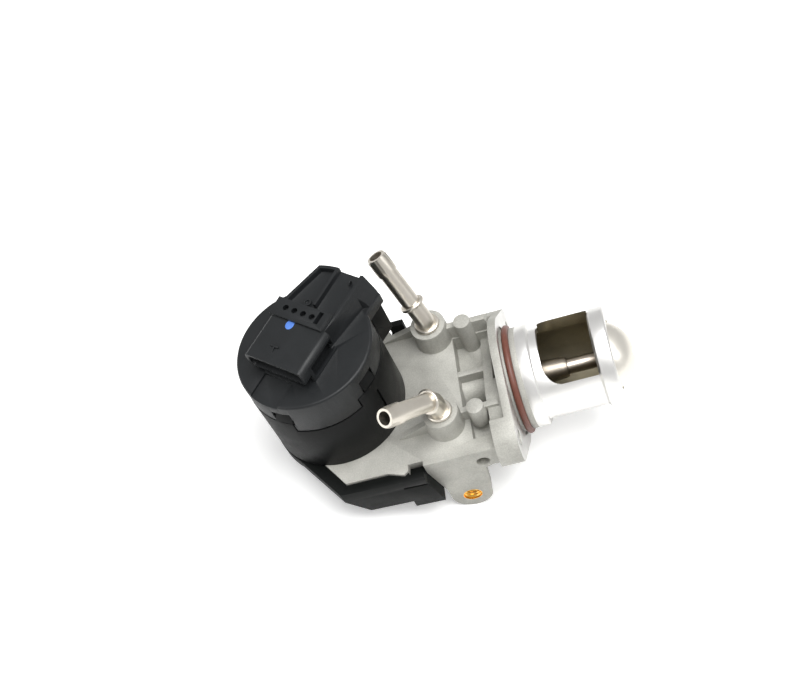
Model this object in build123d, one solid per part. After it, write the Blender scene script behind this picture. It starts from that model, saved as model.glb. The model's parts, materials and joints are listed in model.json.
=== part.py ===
from build123d import *
import math
import os

# Electric exhaust gas recirculation valve with a water-cooled housing.
# The origin is the centre of the flange's mating face, on the axis of the valve.
# +X runs out along the valve to its head, +Z is the motor's axis, and the lug faces -Y.

# Valve line: distances along +X from the flange face
spigot_end = 6.5
collar_end = 12.0
sleeve_r = 20.2
sleeve_bore = 17.8
rim_r = 22.1
rim_start = 38.4
sleeve_end = 45.8
seat_bore = 13.4
seat_from = 40.6
head_r = 14.6
head_back = 43.0
head_shoulder = 45.4
head_crown = 54.0
head_bulge = (51.4, 9.8)
head_pocket = 15.2
stem_r = 3.5
window_from = 15.4
window_to = 38.4
window_half_width = 16.6
window_tilt = 2.0
window_corner = 7.0
window_lip_r = 21.8
window_lip_low = 9.0
valve_lift = 6.5

# Flange
flange_thick = 10.0
flange_rim_thick = 3.6
flange_r = 29.0
ear_distance = 37.0
ear_r = 10.5
ear_back_r = 9.2
ear_tilt = 16.0
ear_hole_r = 3.3
scallop_height = 14.5
scallop_back = 27.0
scallop_bend = 22.0
scallop_front = 37.0
scallop_low = 8.6
scallop_corner = 4.0
seal_section = 3.0
seal_outer_r = 24.4
seal_stand = 1.7
seal_x = 2.4
face_relief = 0.6
groove_clearance = 0.1

# Stem guide and seals
chamber_floor = -6.0
chamber_bore = 19.3
guide_boss_r = 8.6
guide_nose_x = 13.0
guide_nose_r = 7.0
bush_r = 5.6
bush_back = -24.0
bush_nose = 25.0
bush_nose_r = 4.2
lip_seal_r = 6.4
lip_seal_len = 4.5

# Housing casting
plate_top = 15.0
plate_thick = 4.0
plate_front = -40.5
plate_back = 28.4
body_left = -38.5
body_front = -41.0
body_bottom = -14.5
body_apron_z = 3.0
body_core_front = -29.0
body_core_chamfer = 8.0
plate_corner_x = -76.4
bump_start = -57.6
bump_peak = -50.7
bump_out = 2.5
bump_end = -48.8
catch_notch_in = 1.9
lip_notch_x = -48.5
catch_left = -47.5
catch_right = -41.2
corner_left = -42.0
corner_foot = -37.9
corner_high = 9.0
corner_low = -8.6
step_x = -21.5
valley_floor = 6.5
valley_back = 19.0
pocket_front = -17.4
pocket_floor = -3.0
cross_rib_y = 0.6
cross_rib_top = 14.0
bolt_scoop_r = 8.5
post_x = -14.4
post_back_y = 19.4
post_front_y = -25.1
post_r = 3.7
post_top = 26.0
boss_x = -29.5
boss_back_y = 22.1
boss_front_y = -23.8
boss_r = 7.8
boss_base_r = 8.6
boss_top = 26.0
rib_thick = 2.6
rib_top = 23.0
gallery_r = 3.0
gallery_z = -9.5
pipe_seat = 14.0

# Lug on the front of the casting
lug_thick = 7.0
lug_left = -37.7
lug_hole_x = -28.6
lug_hole_z = -17.6
lug_round = 8.8
lug_shoulder_x = -17.6
lug_shoulder_z = 7.0
lug_shoulder_r = 5.2
lug_neck_x = -18.0
lug_wall = 3.5
lug_small_hole_r = 3.0
lug_small_hole_depth = 5.0
insert_r = 4.2
insert_bore = 3.3

# Motor line
motor_x = -75.7
shell_r = 30.2
shell_top = 58.0
shell_neck_z = 44.2
cap_top = 63.0
cap_r = 30.0
cap_wall = 2.2
cap_skirt_z = 50.5
cap_tab_z = 45.0
cap_gap = 0.3
cap_edge = 1.2
cap_roof = 3.0
cap_tab_sectors = [(-111, -54), (90, 125), (165, 195)]
hook_angles = [-38, -118, 142]
hook_width = 8.0
hook_height = 6.0
hook_z = 51.0
channel_right = 5.6
channel_left = 8.8
channel_depth = 1.2
can_r = 22.0
can_wall = 1.5
can_base = 16.2
can_height = 36.0
shaft_r = 1.6
rotor_r = 14.5
rotor_base = 22.0
rotor_len = 20.0
rotor_slots = 5
magnet_thick = 4.0
magnet_span = 130
magnet_starts = [25, 205]
commutator_r = 5.0
commutator_len = 5.0
bearing_r = 5.0
bearing_len = 4.0
nose_r = 8.0

# Gear train under the plate
motor_teeth = 14
wheel_teeth = 48
pinion_teeth = 12
sector_teeth = 40
fast_module = 0.5
slow_module = 0.8
pressure_angle = 25.0
backlash = 0.12
output_x = -61.0
sector_z = 4.5
sector_thick = 3.0
gear_clearance = 0.8
wheel_z = 8.0
wheel_thick = 2.4
pin_r = 1.5
pin_seat = 2.5
output_pin_r = 2.0
hub_r = 4.2
hub_bottom = -2.6
running_gap = 0.05
cam_travel = 80.0
cam_start_r = 8.6
roller_r = 2.4
slot_extra = 5.0
cam_rim = 1.9
cam_rim_margin = 18.0
crosshead_len = 6.4
crosshead_half = 4.0
roller_pin_r = 1.1
spring_strip = 0.55
spring_height = 1.8
spring_pitch = 0.85
spring_half_turns = 6

# Gear cover
cover_top = 14.0
cover_floor = -3.2
cover_wall = 2.0
cover_deep_floor = -7.6
cover_left_r = 30.4
cover_front = -46.4
cover_corner_x = -79.6
cover_corner_y = -45.0
cover_back = 31.6
cover_right = -38.8
cover_lip_x = -52.0
seat_ledge = 3.0
plate_gap = 0.3
seal_height = 1.0
cover_taper_z = 7.6
cover_taper_inset = 6.6
notch_floor = 11.2
notch_left = -48.8
notch_front = -43.2
catch_top = 22.3
deep_reach = 8.0
deep_half = 16.0
slit_left = -53.0
slit_right = -41.5
slit_low = 7.9
slit_high = 9.1
slit_depth = 1.5

# Connector and its tower on the motor cap
socket_angle = 52.3
socket_width = 30.0
socket_height = 12.0
socket_front = -17.0
socket_back = 12.2
strip_end = 15.0
socket_wall = 1.6
socket_depth = 19.0
socket_round = 2.4
socket_bottom = 66.4
socket_lip = 1.3
socket_foot_back = 11.0
socket_foot_side = 10.5
strip_start = 4.6
strip_right = 12.1
strip_step = 1.4
strip_holes = [-4.7, -0.15, 4.4, 8.9]
strip_hole_s = 8.2
strip_hole_r = 0.75
tower_end = 34.8
tower_right = 17.8
tower_left_start = 13.8
tower_left_end = 8.7
tower_bend = 33.0
tower_top = 71.0
tower_bottom = 57.5
tower_rib_top = 73.8
tower_rib = 1.4
tower_slope_z = 66.7
tower_slope_w = 16.5
conduit_end = 33.6
conduit_right = 16.6
conduit_left = 9.4
conduit_bottom = 39.0
lead_s = 31.2
lead_w = 4.6
lead_pitch = 2.4
lead_room = 3.4
lead_thick = 0.6
lead_z = 68.6
duct_right = -0.2
duct_left = 9.4
duct_end = 34.2
pin_count = 5
pin_pitch = 4.2
pin_width = 1.5
pin_reach = 8.0
pin_tail = 4.0
pin_thick = 0.8
lead_foot = 2.0
tower_rib_places = [-12.6, -0.2]

# Coolant pipes
pipe_r = 4.1
pipe_bore = 3.0
pipe_straight = 28.0
barb_len = 9.0
barb_r = 4.6
bead_r = 5.6
bead_len = 1.8
bead_z = 38.0
back_pipe_tilt = 28.5
back_pipe_turn = 125.8
front_pipe_tilt = 48.9
front_pipe_turn = 225.0
back_bend_z = 28.5
front_bend_z = 35.8
pipe_bend_r = 7.0

spigot_r = seal_outer_r - seal_stand
plate_bottom = plate_top - plate_thick
guide_end = body_left - 1.8
motor_pinion_r = motor_teeth * fast_module / 2
wheel_r = wheel_teeth * fast_module / 2
pinion_r = pinion_teeth * slow_module / 2
sector_r = sector_teeth * slow_module / 2
stage_one = motor_pinion_r + wheel_r
stage_two = pinion_r + sector_r
axis_span = output_x - motor_x
wheel_along = (stage_one**2 - stage_two**2 + axis_span**2) / (2 * axis_span)
wheel_x = motor_x + wheel_along
wheel_y = -math.sqrt(stage_one**2 - wheel_along**2)
cam_rise = valve_lift / cam_travel
cam_rim_r = cam_start_r + valve_lift + roller_r + cam_rim
roller_x = output_x + cam_start_r

BOTTOM = (Align.CENTER, Align.CENTER, Align.MIN)


def z_cylinder(radius, z0, z1, x=0.0, y=0.0):
    return Pos(x, y, z0) * Cylinder(radius, z1 - z0, align=BOTTOM)


def x_cylinder(radius, x0, x1, y=0.0, z=0.0):
    return Pos(x0, y, z) * Rot(0, 90, 0) * Cylinder(radius, x1 - x0, align=BOTTOM)


def y_cylinder(radius, y0, y1, x=0.0, z=0.0):
    return Pos(x, y0, z) * Rot(-90, 0, 0) * Cylinder(radius, y1 - y0, align=BOTTOM)


def block(x0, x1, y0, y1, z0, z1):
    return Pos(x0, y0, z0) * Box(x1 - x0, y1 - y0, z1 - z0, align=(Align.MIN,) * 3)


def prism_z(face, z0, z1):
    return extrude(Pos(0, 0, z0) * face, amount=z1 - z0)


def prism_x(face, x0, x1):
    return extrude(Plane.YZ.offset(x0) * face, amount=x1 - x0)


def prism_y(face, y0, y1):
    return extrude(Plane.XZ.offset(-y0) * face, amount=y0 - y1)


def turned_x(points):
    """Solid of revolution about the valve axis from (x, radius) points."""
    return revolve(Plane.XZ * make_face(Polyline(*points, close=True)), Axis.X)


def polar(radius, angle, x=0.0, y=0.0):
    a = math.radians(angle)
    return (x + radius * math.cos(a), y + radius * math.sin(a))


def involute(angle):
    return math.tan(angle) - angle


def tooth_half_angle(teeth, module, radius):
    """Half of a tooth's width at a radius, in degrees, thinned by half the backlash."""
    pitch_r = teeth * module / 2
    base_r = pitch_r * math.cos(math.radians(pressure_angle))
    at_radius = math.acos(min(1.0, base_r / max(radius, base_r)))
    half = math.pi / (2 * teeth) - backlash / (4 * pitch_r)
    return math.degrees(half + involute(math.radians(pressure_angle)) - involute(at_radius))


def tooth_face(teeth, module, angle):
    """One involute tooth, from inside the root circle to the tip, centred on an angle."""
    pitch_r = teeth * module / 2
    root_r = pitch_r - 1.25 * module
    tip_r = pitch_r + module
    steps = 4
    radii = [root_r + (tip_r - root_r) * i / steps for i in range(steps + 1)]
    halves = [tooth_half_angle(teeth, module, r) for r in radii]
    foot = [polar(root_r - module / 2, angle - halves[0])]
    rise = [polar(r, angle - h) for r, h in zip(radii, halves)]
    fall = [polar(r, angle + h) for r, h in zip(reversed(radii), reversed(halves))]
    return make_face(Polyline(*foot, *rise, *fall, polar(root_r - module / 2, angle + halves[0]), close=True))


def gear_face(teeth, module, first_angle, count=None):
    """A whole gear, or a run of its teeth, on its root circle."""
    pitch = 360 / teeth
    face = Circle(teeth * module / 2 - 1.25 * module)
    for i in range(count or teeth):
        face += tooth_face(teeth, module, first_angle + i * pitch)
    return face


def pie(radius, start, end):
    """Slice of a disc between two angles."""
    middle = (start + end) / 2
    edge = ThreePointArc(polar(radius, start), polar(radius, middle), polar(radius, end))
    return make_face([Line((0, 0), edge @ 0), edge, Line(edge @ 1, (0, 0))])


def motor_to_wheel():
    return math.degrees(math.atan2(wheel_y, wheel_x - motor_x))


def output_to_wheel():
    return math.degrees(math.atan2(wheel_y, wheel_x - output_x)) % 360


def drive_pinion():
    face = gear_face(motor_teeth, fast_module, motor_to_wheel()) - Circle(shaft_r)
    return Pos(motor_x, 0, 0) * prism_z(face, wheel_z, wheel_z + wheel_thick)


def reduction_gear():
    """Large wheel from the motor and the small pinion below it, moulded together."""
    wheel = gear_face(wheel_teeth, fast_module, motor_to_wheel() + 180 + 180 / wheel_teeth)
    pinion = gear_face(pinion_teeth, slow_module, output_to_wheel() + 180)
    gear = prism_z(wheel, wheel_z, wheel_z + wheel_thick) + prism_z(pinion, sector_z, wheel_z)
    dish = Circle(wheel_r - 3.2) - Circle(pinion_r + 1.6)
    gear -= prism_z(dish, wheel_z + wheel_thick * 0.6, wheel_z + wheel_thick)
    gear -= z_cylinder(pin_r + running_gap, sector_z, wheel_z + wheel_thick)
    return Pos(wheel_x, wheel_y, 0) * gear


def cam_centre(angle):
    """Centre of the roller in the sector gear's own frame after it has turned by an angle."""
    return polar(cam_start_r + cam_rise * angle, -angle)


def cam_wall(angle, side):
    """Point of the slot's wall: the cam line moved square to itself by half the slot."""
    reach = 0.5
    ahead = Vector(*cam_centre(angle + reach))
    behind = Vector(*cam_centre(angle - reach))
    along = (ahead - behind).normalized()
    wall = Vector(*cam_centre(angle)) + Vector(-along.Y, along.X) * side * (roller_r + running_gap)
    return (wall.X, wall.Y)


def cam_slot():
    """Spiral slot of constant rise, so the valve's travel is in proportion to the turn."""
    steps = 8
    sweep = cam_travel + 2 * slot_extra
    angles = [-slot_extra + sweep * i / steps for i in range(steps + 1)]
    inner = Spline([cam_wall(a, -1) for a in angles])
    outer = Spline([cam_wall(a, 1) for a in angles])
    channel = make_face([inner, Line(inner @ 1, outer @ 1), outer, Line(outer @ 0, inner @ 0)])
    for a in (angles[0], angles[-1]):
        channel += Pos(*cam_centre(a)) * Circle(roller_r + running_gap)
    return channel


def output_gear():
    """Toothed sector, cam rim and hub that turn together on the output pin."""
    mesh = output_to_wheel()
    pitch = 360 / sector_teeth
    spare = 2
    teeth = math.ceil(cam_travel / pitch) + 2 * spare
    first = mesh + pitch * (0.5 + spare) - teeth * pitch
    face = gear_face(sector_teeth, slow_module, first, teeth)
    face += pie(cam_rim_r, -cam_travel - cam_rim_margin, cam_rim_margin + slot_extra)
    face -= cam_slot()
    gear = prism_z(face, sector_z, sector_z + sector_thick)
    gear += z_cylinder(hub_r, hub_bottom, plate_bottom - 0.5)
    gear -= z_cylinder(output_pin_r + running_gap, hub_bottom, plate_bottom)
    return Pos(output_x, 0, 0) * gear


def sensor_magnet():
    """Ring magnet on the lower end of the hub, read by the position sensor."""
    ring = Circle(hub_r) - Circle(output_pin_r + 2 * running_gap)
    return Pos(output_x, 0, 0) * prism_z(ring, hub_bottom - 1.4, hub_bottom)


def return_spring():
    """Flat spiral spring round the hub, from half circles that grow by one pitch."""
    z0 = sector_z + sector_thick + 0.6
    inner_r = hub_r + spring_pitch / 4 + plate_gap
    coil = Sketch()
    for i in range(spring_half_turns):
        r = inner_r + spring_strip / 2 + i * spring_pitch / 2
        shift = spring_pitch / 4 * (-1) ** i
        ring = Circle(r + spring_strip / 2) - Circle(r - spring_strip / 2)
        half = ring & (Pos(0, (r + 2) / 2 * (-1) ** i) * Rectangle(2 * r + 4, r + 2))
        coil += Pos(shift, 0) * half
    return Pos(output_x, 0, 0) * prism_z(coil, z0, z0 + spring_height)


def output_pin():
    return z_cylinder(output_pin_r, cover_deep_floor + cover_wall, plate_bottom + pin_seat, output_x)


def reduction_pin():
    return z_cylinder(pin_r, cover_floor + cover_wall, plate_bottom + pin_seat, wheel_x, wheel_y)


def valve_stem():
    front = head_crown - 0.6
    back = roller_x + crosshead_len / 2
    return x_cylinder(stem_r, back, front) + x_cylinder(stem_r - 0.5, front, head_crown)


def valve_head():
    """Domed head, hollow behind, welded on the stem."""
    dome = ThreePointArc((head_shoulder, head_r), head_bulge, (head_crown, stem_r))
    back = Polyline((head_crown, stem_r), (head_back + 1.4, stem_r), (head_back, stem_r + 1.4))
    rim = Polyline((head_back, stem_r + 1.4), (head_back, head_r - 0.8), (head_back + 0.8, head_r))
    side = Line((head_back + 0.8, head_r), (head_shoulder, head_r))
    return revolve(Plane.XZ * make_face([dome, back, rim, side]), Axis.X)


def crosshead():
    """Block pinned on the end of the stem, carrying the cam roller."""
    rear = roller_x - crosshead_len / 2
    front = roller_x + crosshead_len / 2
    body = block(rear, front, -crosshead_half, crosshead_half, -crosshead_half + 0.4, sector_z - 1.0)
    body = fillet(body.edges().filter_by(Axis.Z), 1.5)
    return body - z_cylinder(roller_pin_r, -crosshead_half, sector_z, roller_x)


def roller_pin():
    return z_cylinder(roller_pin_r, -crosshead_half + 0.8, sector_z + sector_thick - 0.2, roller_x)


def cam_roller():
    ring = Circle(roller_r) - Circle(roller_pin_r)
    return Pos(roller_x, 0, 0) * prism_z(ring, sector_z - 0.6, sector_z + sector_thick - 0.4)


def stem_bush():
    """Long sintered bush whose cone stands in the gas chamber."""
    body = turned_x([(bush_back, stem_r + running_gap), (bush_back, bush_r), (guide_nose_x, bush_r),
                     (bush_nose - 2, bush_nose_r + 0.6), (bush_nose, bush_nose_r),
                     (bush_nose, stem_r + running_gap)])
    return body


def lip_seal():
    back = guide_end
    return turned_x([(back, stem_r + running_gap), (back, lip_seal_r), (back + lip_seal_len, lip_seal_r),
                     (back + lip_seal_len, lip_seal_r - 1.2), (back + 1.2, lip_seal_r - 1.8),
                     (back + lip_seal_len, stem_r + 0.8), (back + lip_seal_len, stem_r + running_gap)])


def seat_sleeve():
    """Gas sleeve: press skirt, collar, windowed tube, end rim and valve seat."""
    outside = [(chamber_floor + 4.0, chamber_bore), (spigot_end, chamber_bore), (spigot_end, spigot_r),
               (collar_end - 0.8, spigot_r), (collar_end, spigot_r - 0.8), (collar_end, sleeve_r),
               (rim_start, sleeve_r), (rim_start + 1.2, rim_r), (sleeve_end - 0.6, rim_r),
               (sleeve_end, rim_r - 0.6)]
    inside = [(sleeve_end, head_pocket + 0.4), (head_back, head_pocket), (head_back, seat_bore + 0.6),
              (head_back - 0.6, seat_bore), (seat_from, seat_bore), (seat_from - 2.5, sleeve_bore),
              (chamber_floor + 4.0, sleeve_bore)]
    sleeve = turned_x(outside + inside)
    lip_start = window_from + 1
    lip = x_cylinder(window_lip_r, lip_start, rim_start)
    lip &= block(lip_start, rim_start, 0, window_lip_r, window_lip_low, window_lip_r)
    sleeve += lip - x_cylinder(sleeve_bore, lip_start, rim_start)
    length = window_to - window_from
    window = Pos(window_from, 0) * Rectangle(length, 2 * window_half_width, align=(Align.MIN, Align.CENTER))
    window = fillet(window.vertices().group_by(Axis.X)[0], window_corner)
    cutter = prism_z(window, 0, 2 * sleeve_r)
    return sleeve - Rot(-window_tilt, 0, 0) * cutter


def flange_seal():
    ring = Circle(seal_section / 2)
    section = Plane.XZ * Pos(seal_x, seal_outer_r - seal_section / 2) * ring
    return revolve(section, Axis.X)


def plate_outline():
    """Top plate of the casting, with its bump and the two notches for the cover's hooks."""
    front = [(plate_corner_x, plate_front), (bump_start, plate_front), (bump_peak, plate_front - bump_out),
             (bump_end, plate_front - 1.1), (lip_notch_x, plate_front + catch_notch_in),
             (-40.0, plate_front + 2.0), (lug_left, body_front), (-flange_thick, body_front)]
    back = [(-flange_thick, plate_back), (-43.0, plate_back), (-48.5, plate_back), (-49.1, plate_back + 3.2),
            (-51.9, plate_back + 3.7), (-54.2, plate_back), (motor_x, plate_back)]
    corner = [(-96.0, -12.6)]
    return make_face(Polyline(*front, *back, *corner, close=True)) + Pos(motor_x, 0) * Circle(shell_r - 1.7)


def flange_outline():
    front = Pos(*polar(ear_distance, 180 - ear_tilt)) * Circle(ear_r)
    back = Pos(*polar(ear_distance, -ear_tilt)) * Circle(ear_back_r)
    return make_hull((Circle(flange_r) + front + back).edges())


def flange():
    """Two-bolt flange, cut back behind its top rim between the ears."""
    plate = prism_x(flange_outline(), -flange_thick, 0)
    high = flange_r + 2
    floor = [(scallop_back, scallop_height), (-scallop_bend, scallop_height), (-scallop_front, scallop_low)]
    cut = make_face(Polyline((scallop_back, high), *floor, (-scallop_front, high), close=True))
    cut = fillet(cut.vertices().filter_by(lambda v: v.Y < high - 1), scallop_corner)
    plate -= prism_x(Rot(0, 0, -ear_tilt) * cut, -flange_thick, -flange_rim_thick)
    for turn in (0, 180):
        y, z = polar(ear_distance, 180 - ear_tilt + turn)
        plate -= x_cylinder(ear_hole_r, -flange_thick, 0, y, z)
    return plate


def lug():
    """Bracket lug that drops from the front edge, round at its foot, with a shoulder for the bore."""
    foot = (Pos(lug_hole_x, lug_hole_z) * Circle(lug_round)).edges()
    height = plate_top - lug_hole_z
    left = Pos(lug_left, lug_hole_z) * Rectangle(lug_wall, height, align=(Align.MIN, Align.MIN))
    right = Pos(lug_neck_x, 0) * Rectangle(1, plate_top - 2, align=(Align.MAX, Align.MIN))
    outline = make_hull(foot + left.edges() + right.edges())
    outline += Pos(lug_shoulder_x, lug_shoulder_z) * Circle(lug_shoulder_r)
    outline += Pos(lug_left, lug_shoulder_z) * Rectangle(-flange_thick - lug_left, plate_top - lug_shoulder_z,
                                                         align=(Align.MIN, Align.MIN))
    return prism_y(outline, body_front, body_front + lug_thick)


def corner_face(grow):
    """Side view of the casting's left front corner, which narrows downwards; the cover clears it by grow."""
    left = corner_left - grow
    foot = corner_foot - grow
    right = lug_left + 1 + grow
    return make_face(Polyline((left, plate_top + grow), (left, corner_high), (foot, corner_low - grow),
                              (right, corner_low - grow), (right, plate_top + grow), close=True))


def boss(y):
    return Pos(boss_x, y, plate_bottom) * Cone(boss_base_r, boss_r, boss_top - plate_bottom, align=BOTTOM)


def rib_x(x0, x1, y, z0, z1):
    return block(x0, x1, y - rib_thick / 2, y + rib_thick / 2, z0, z1)


def side_gusset(x_tip, x_root, y, height):
    """Triangular web that falls from a coolant boss to the plate."""
    web = make_face(Polyline((x_tip, plate_top - 1), (x_root, plate_top - 1), (x_root, height),
                             (x_tip, plate_top), close=True))
    return extrude(Plane.XZ.offset(-y - rib_thick / 2) * web, amount=rib_thick)


def coolant_gallery():
    """U-shaped water way under the stem, between the two bosses."""
    legs = z_cylinder(gallery_r, gallery_z, pipe_seat, boss_x, boss_back_y)
    legs += z_cylinder(gallery_r, gallery_z, pipe_seat, boss_x, boss_front_y)
    for y in (boss_back_y, boss_front_y):
        legs += z_cylinder(pipe_r, pipe_seat, boss_top, boss_x, y)
        legs += Pos(boss_x, y, gallery_z) * Sphere(gallery_r)
    return legs + y_cylinder(gallery_r, boss_front_y, boss_back_y, boss_x, gallery_z)


def valve_body():
    """Blocky middle of the casting: an apron under the plate's front and a core round the stem."""
    apron = block(body_left, -flange_thick / 2, body_front, plate_back, body_apron_z, plate_top)
    corner = prism_y(corner_face(0), body_front, body_front + lug_thick)
    core = block(body_left, -flange_thick / 2, body_core_front, plate_back - 2, body_bottom, body_apron_z + 1)
    core = chamfer(core.edges().filter_by(Axis.X).group_by(Axis.Z)[0], body_core_chamfer)
    return apron + corner + core


def valley():
    """Hollow between the plate's step and the flange, split by a cross rib."""
    behind = block(step_x, 0, cross_rib_y, valley_back, valley_floor, boss_top)
    before = block(step_x, 0, pocket_front, cross_rib_y, pocket_floor, boss_top)
    return behind + before + x_cylinder(bolt_scoop_r, -19.0, -flange_thick, -32.0, 17.0)


def stem_passage():
    """Bores on the valve's axis: gas chamber, bush seat, stem clearance and seal seat."""
    bores = x_cylinder(bush_r, bush_back, guide_nose_x)
    bores += x_cylinder(stem_r + 0.6, guide_end, bush_back)
    return bores + x_cylinder(lip_seal_r, guide_end, guide_end + lip_seal_len)


def seal_groove():
    low = seal_x - seal_section / 2 - groove_clearance
    high = seal_x + seal_section / 2 + groove_clearance
    floor = seal_outer_r - seal_section - groove_clearance
    return turned_x([(low, floor), (low, seal_outer_r + 1), (high, seal_outer_r + 1), (high, floor)])


def valve_housing():
    """One aluminium casting: plate, valve body, flange, bosses, posts and lug."""
    casting = prism_z(plate_outline(), plate_bottom, plate_top) + valve_body() - valley()
    casting += rib_x(step_x - 1, -flange_thick / 2, cross_rib_y, pocket_floor, cross_rib_top)
    casting += x_cylinder(guide_boss_r, guide_end, -flange_thick / 2)
    casting += flange() + lug() + x_cylinder(spigot_r, -1, spigot_end)
    casting += boss(boss_back_y) + boss(boss_front_y)
    casting += z_cylinder(post_r, valley_floor - 1, post_top, post_x, post_back_y)
    casting += z_cylinder(post_r, plate_top - 1, post_top, post_x, post_front_y)
    casting += rib_x(boss_x, -flange_thick / 2, post_back_y + 1.6, valley_floor, rib_top)
    casting += rib_x(boss_x, -flange_thick / 2, post_front_y + 2.8, plate_top - 1, rib_top - 2)
    casting += side_gusset(-54.2, boss_x, plate_back - rib_thick / 2, rib_top)
    casting += side_gusset(-51.9, boss_x, boss_front_y - 0.6, boss_top - 1)
    casting -= x_cylinder(chamber_bore, chamber_floor, spigot_end)
    casting += turned_x([(chamber_floor - 1, 0), (chamber_floor - 1, guide_boss_r),
                         (chamber_floor, guide_boss_r), (guide_nose_x, guide_nose_r), (guide_nose_x, 0)])
    casting -= seal_groove() + stem_passage() + coolant_gallery()
    casting -= prism_x(Circle(seal_outer_r + groove_clearance) - Circle(spigot_r), -face_relief, 1)
    casting -= z_cylinder(nose_r + cap_gap, plate_bottom, plate_top, motor_x)
    casting -= z_cylinder(output_pin_r, plate_bottom, plate_bottom + pin_seat, output_x)
    casting -= z_cylinder(pin_r, plate_bottom, plate_bottom + pin_seat, wheel_x, wheel_y)
    casting -= y_cylinder(insert_r, body_front, body_front + lug_thick, lug_hole_x, lug_hole_z)
    casting -= y_cylinder(lug_small_hole_r, body_front, body_front + lug_small_hole_depth,
                          lug_shoulder_x, lug_shoulder_z)
    return casting - lead_room_block(plate_bottom, plate_top)


def thread_insert():
    ring = y_cylinder(insert_r, body_front, body_front + lug_thick, lug_hole_x, lug_hole_z)
    return ring - y_cylinder(insert_bore, body_front, body_front + lug_thick, lug_hole_x, lug_hole_z)


def in_tower(shape):
    """Places a shape drawn along the socket's axis: x runs back from the mouth, y is its left side."""
    return Pos(motor_x, 0, 0) * Rot(0, 0, socket_angle) * shape


def lead_room_block(z0, z1):
    """Upright way for the signal leads, behind the motor."""
    return in_tower(block(lead_s - 1.2, lead_s + 1.2, lead_w - lead_room, lead_w + lead_room, z0, z1))


def lead_heights():
    """Places of the three flat leads across the upright way."""
    return [lead_w + (i - 1) * lead_pitch for i in range(3)]


def signal_leads():
    """Flat leads that run back from the socket and down the conduit into the cover."""
    leads = []
    half = lead_thick
    for y in lead_heights():
        bar = block(socket_back, lead_s, y - half, y + half, lead_z, lead_z + lead_thick)
        bar += block(lead_s - lead_thick, lead_s, y - half, y + half, lead_foot, lead_z + lead_thick)
        leads.append(in_tower(bar))
    return Compound(leads)


def terminal_pins():
    pins = []
    for i in range(pin_count):
        y = (i - (pin_count - 1) / 2) * pin_pitch
        front = socket_front + socket_depth - pin_reach
        pins.append(in_tower(block(front, socket_back - pin_tail, y - pin_width / 2, y + pin_width / 2,
                                   lead_z, lead_z + pin_thick)))
    return Compound(pins)


def shell_hooks():
    """Snap hooks that stand in the cap's windows."""
    root = cap_r - cap_wall - cap_gap
    hooks = []
    for angle in hook_angles:
        low = hook_z + 0.4
        high = hook_z + hook_height
        wedge = make_face(Polyline((root - 1, low), (cap_r + 0.5, low), (root, high), (root - 1, high),
                                   close=True))
        hook = extrude(Plane.XZ.offset(-hook_width / 2) * wedge, amount=hook_width)
        hooks.append(Pos(motor_x, 0, 0) * Rot(0, 0, angle) * hook)
    return hooks


def motor_shell():
    """Moulded housing round the motor, stepped for the cap, with the lead conduit on its back."""
    shell = z_cylinder(shell_r, plate_top, cap_skirt_z - cap_gap)
    pocket = Circle(shell_r + 1) - Circle(cap_r - cap_wall - cap_gap)
    for start, end in cap_tab_sectors:
        shell -= prism_z(pocket & pie(shell_r + 2, start - 1, end + 1), shell_neck_z, cap_top)
    shell += z_cylinder(cap_r - cap_wall - cap_gap, shell_neck_z, shell_top)
    conduit = block(0, conduit_end, -conduit_right, conduit_left, conduit_bottom, tower_bottom - cap_gap)
    conduit += block(0, duct_end, duct_right, duct_left, plate_top, tower_bottom - cap_gap)
    conduit -= z_cylinder(cap_r + cap_gap, cap_skirt_z - cap_gap, cap_top)
    shell = Pos(motor_x, 0, 0) * (shell + Rot(0, 0, socket_angle) * conduit) + shell_hooks()
    shell -= z_cylinder(can_r + cap_gap, can_base, shell_top, motor_x)
    shell -= z_cylinder(nose_r + cap_gap, plate_top, can_base, motor_x)
    return shell - lead_room_block(plate_top, tower_bottom)


def socket_block():
    """Flat plug socket on a foot: thin slit mouth, an open side slot and a holed strip behind."""
    half = socket_width / 2
    top = cap_top + socket_height
    body = block(socket_front, strip_start, -half, half, socket_bottom, top)
    body = fillet(body.edges().filter_by(Axis.X), socket_round)
    body += block(-socket_foot_back, strip_start, -socket_foot_side, half - 1.5,
                  cap_top - 1, socket_bottom + 1)
    body += block(strip_start - 1, socket_back, -strip_right, half, cap_top - 1, top + strip_step)
    rail = half - socket_lip
    body += block(-socket_foot_back - 1.5, strip_start, -half, -rail, cap_top - 1, cap_top + socket_lip)
    body += block(-socket_foot_back - 1.5, -socket_foot_back, -half, -rail, cap_top - 1, socket_bottom + 2)
    inner = half - socket_wall
    room = block(socket_front, socket_front + socket_depth, -inner, inner, socket_bottom + socket_lip,
                 top - socket_wall + 0.2)
    room = fillet(room.edges().filter_by(Axis.X), socket_round - 0.4)
    body -= room
    body -= block(-socket_foot_back, strip_start - 0.6, -half - 1, -socket_foot_side,
                  cap_top + socket_lip, top - 3.5)
    body -= block(strip_start + 1.2, socket_back - 0.6, -9.0, -6.8, top - 1.6, top + strip_step)
    for y in strip_holes:
        body -= z_cylinder(strip_hole_r, top - 2, top + strip_step, strip_hole_s, y)
    return body


def tower_outline():
    """Plan of the tower: slanted left wall, a curved back and a straight right side."""
    start = socket_back - 1
    bend = ThreePointArc((tower_bend, tower_left_end), (tower_end - 0.6, tower_left_end / 2), (tower_end, 0))
    sides = Polyline((tower_end, 0), (tower_end, -strip_right), (start, -strip_right),
                     (start, tower_left_start), (strip_end, tower_left_start), (tower_bend, tower_left_end))
    return make_face([bend, sides])


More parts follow.
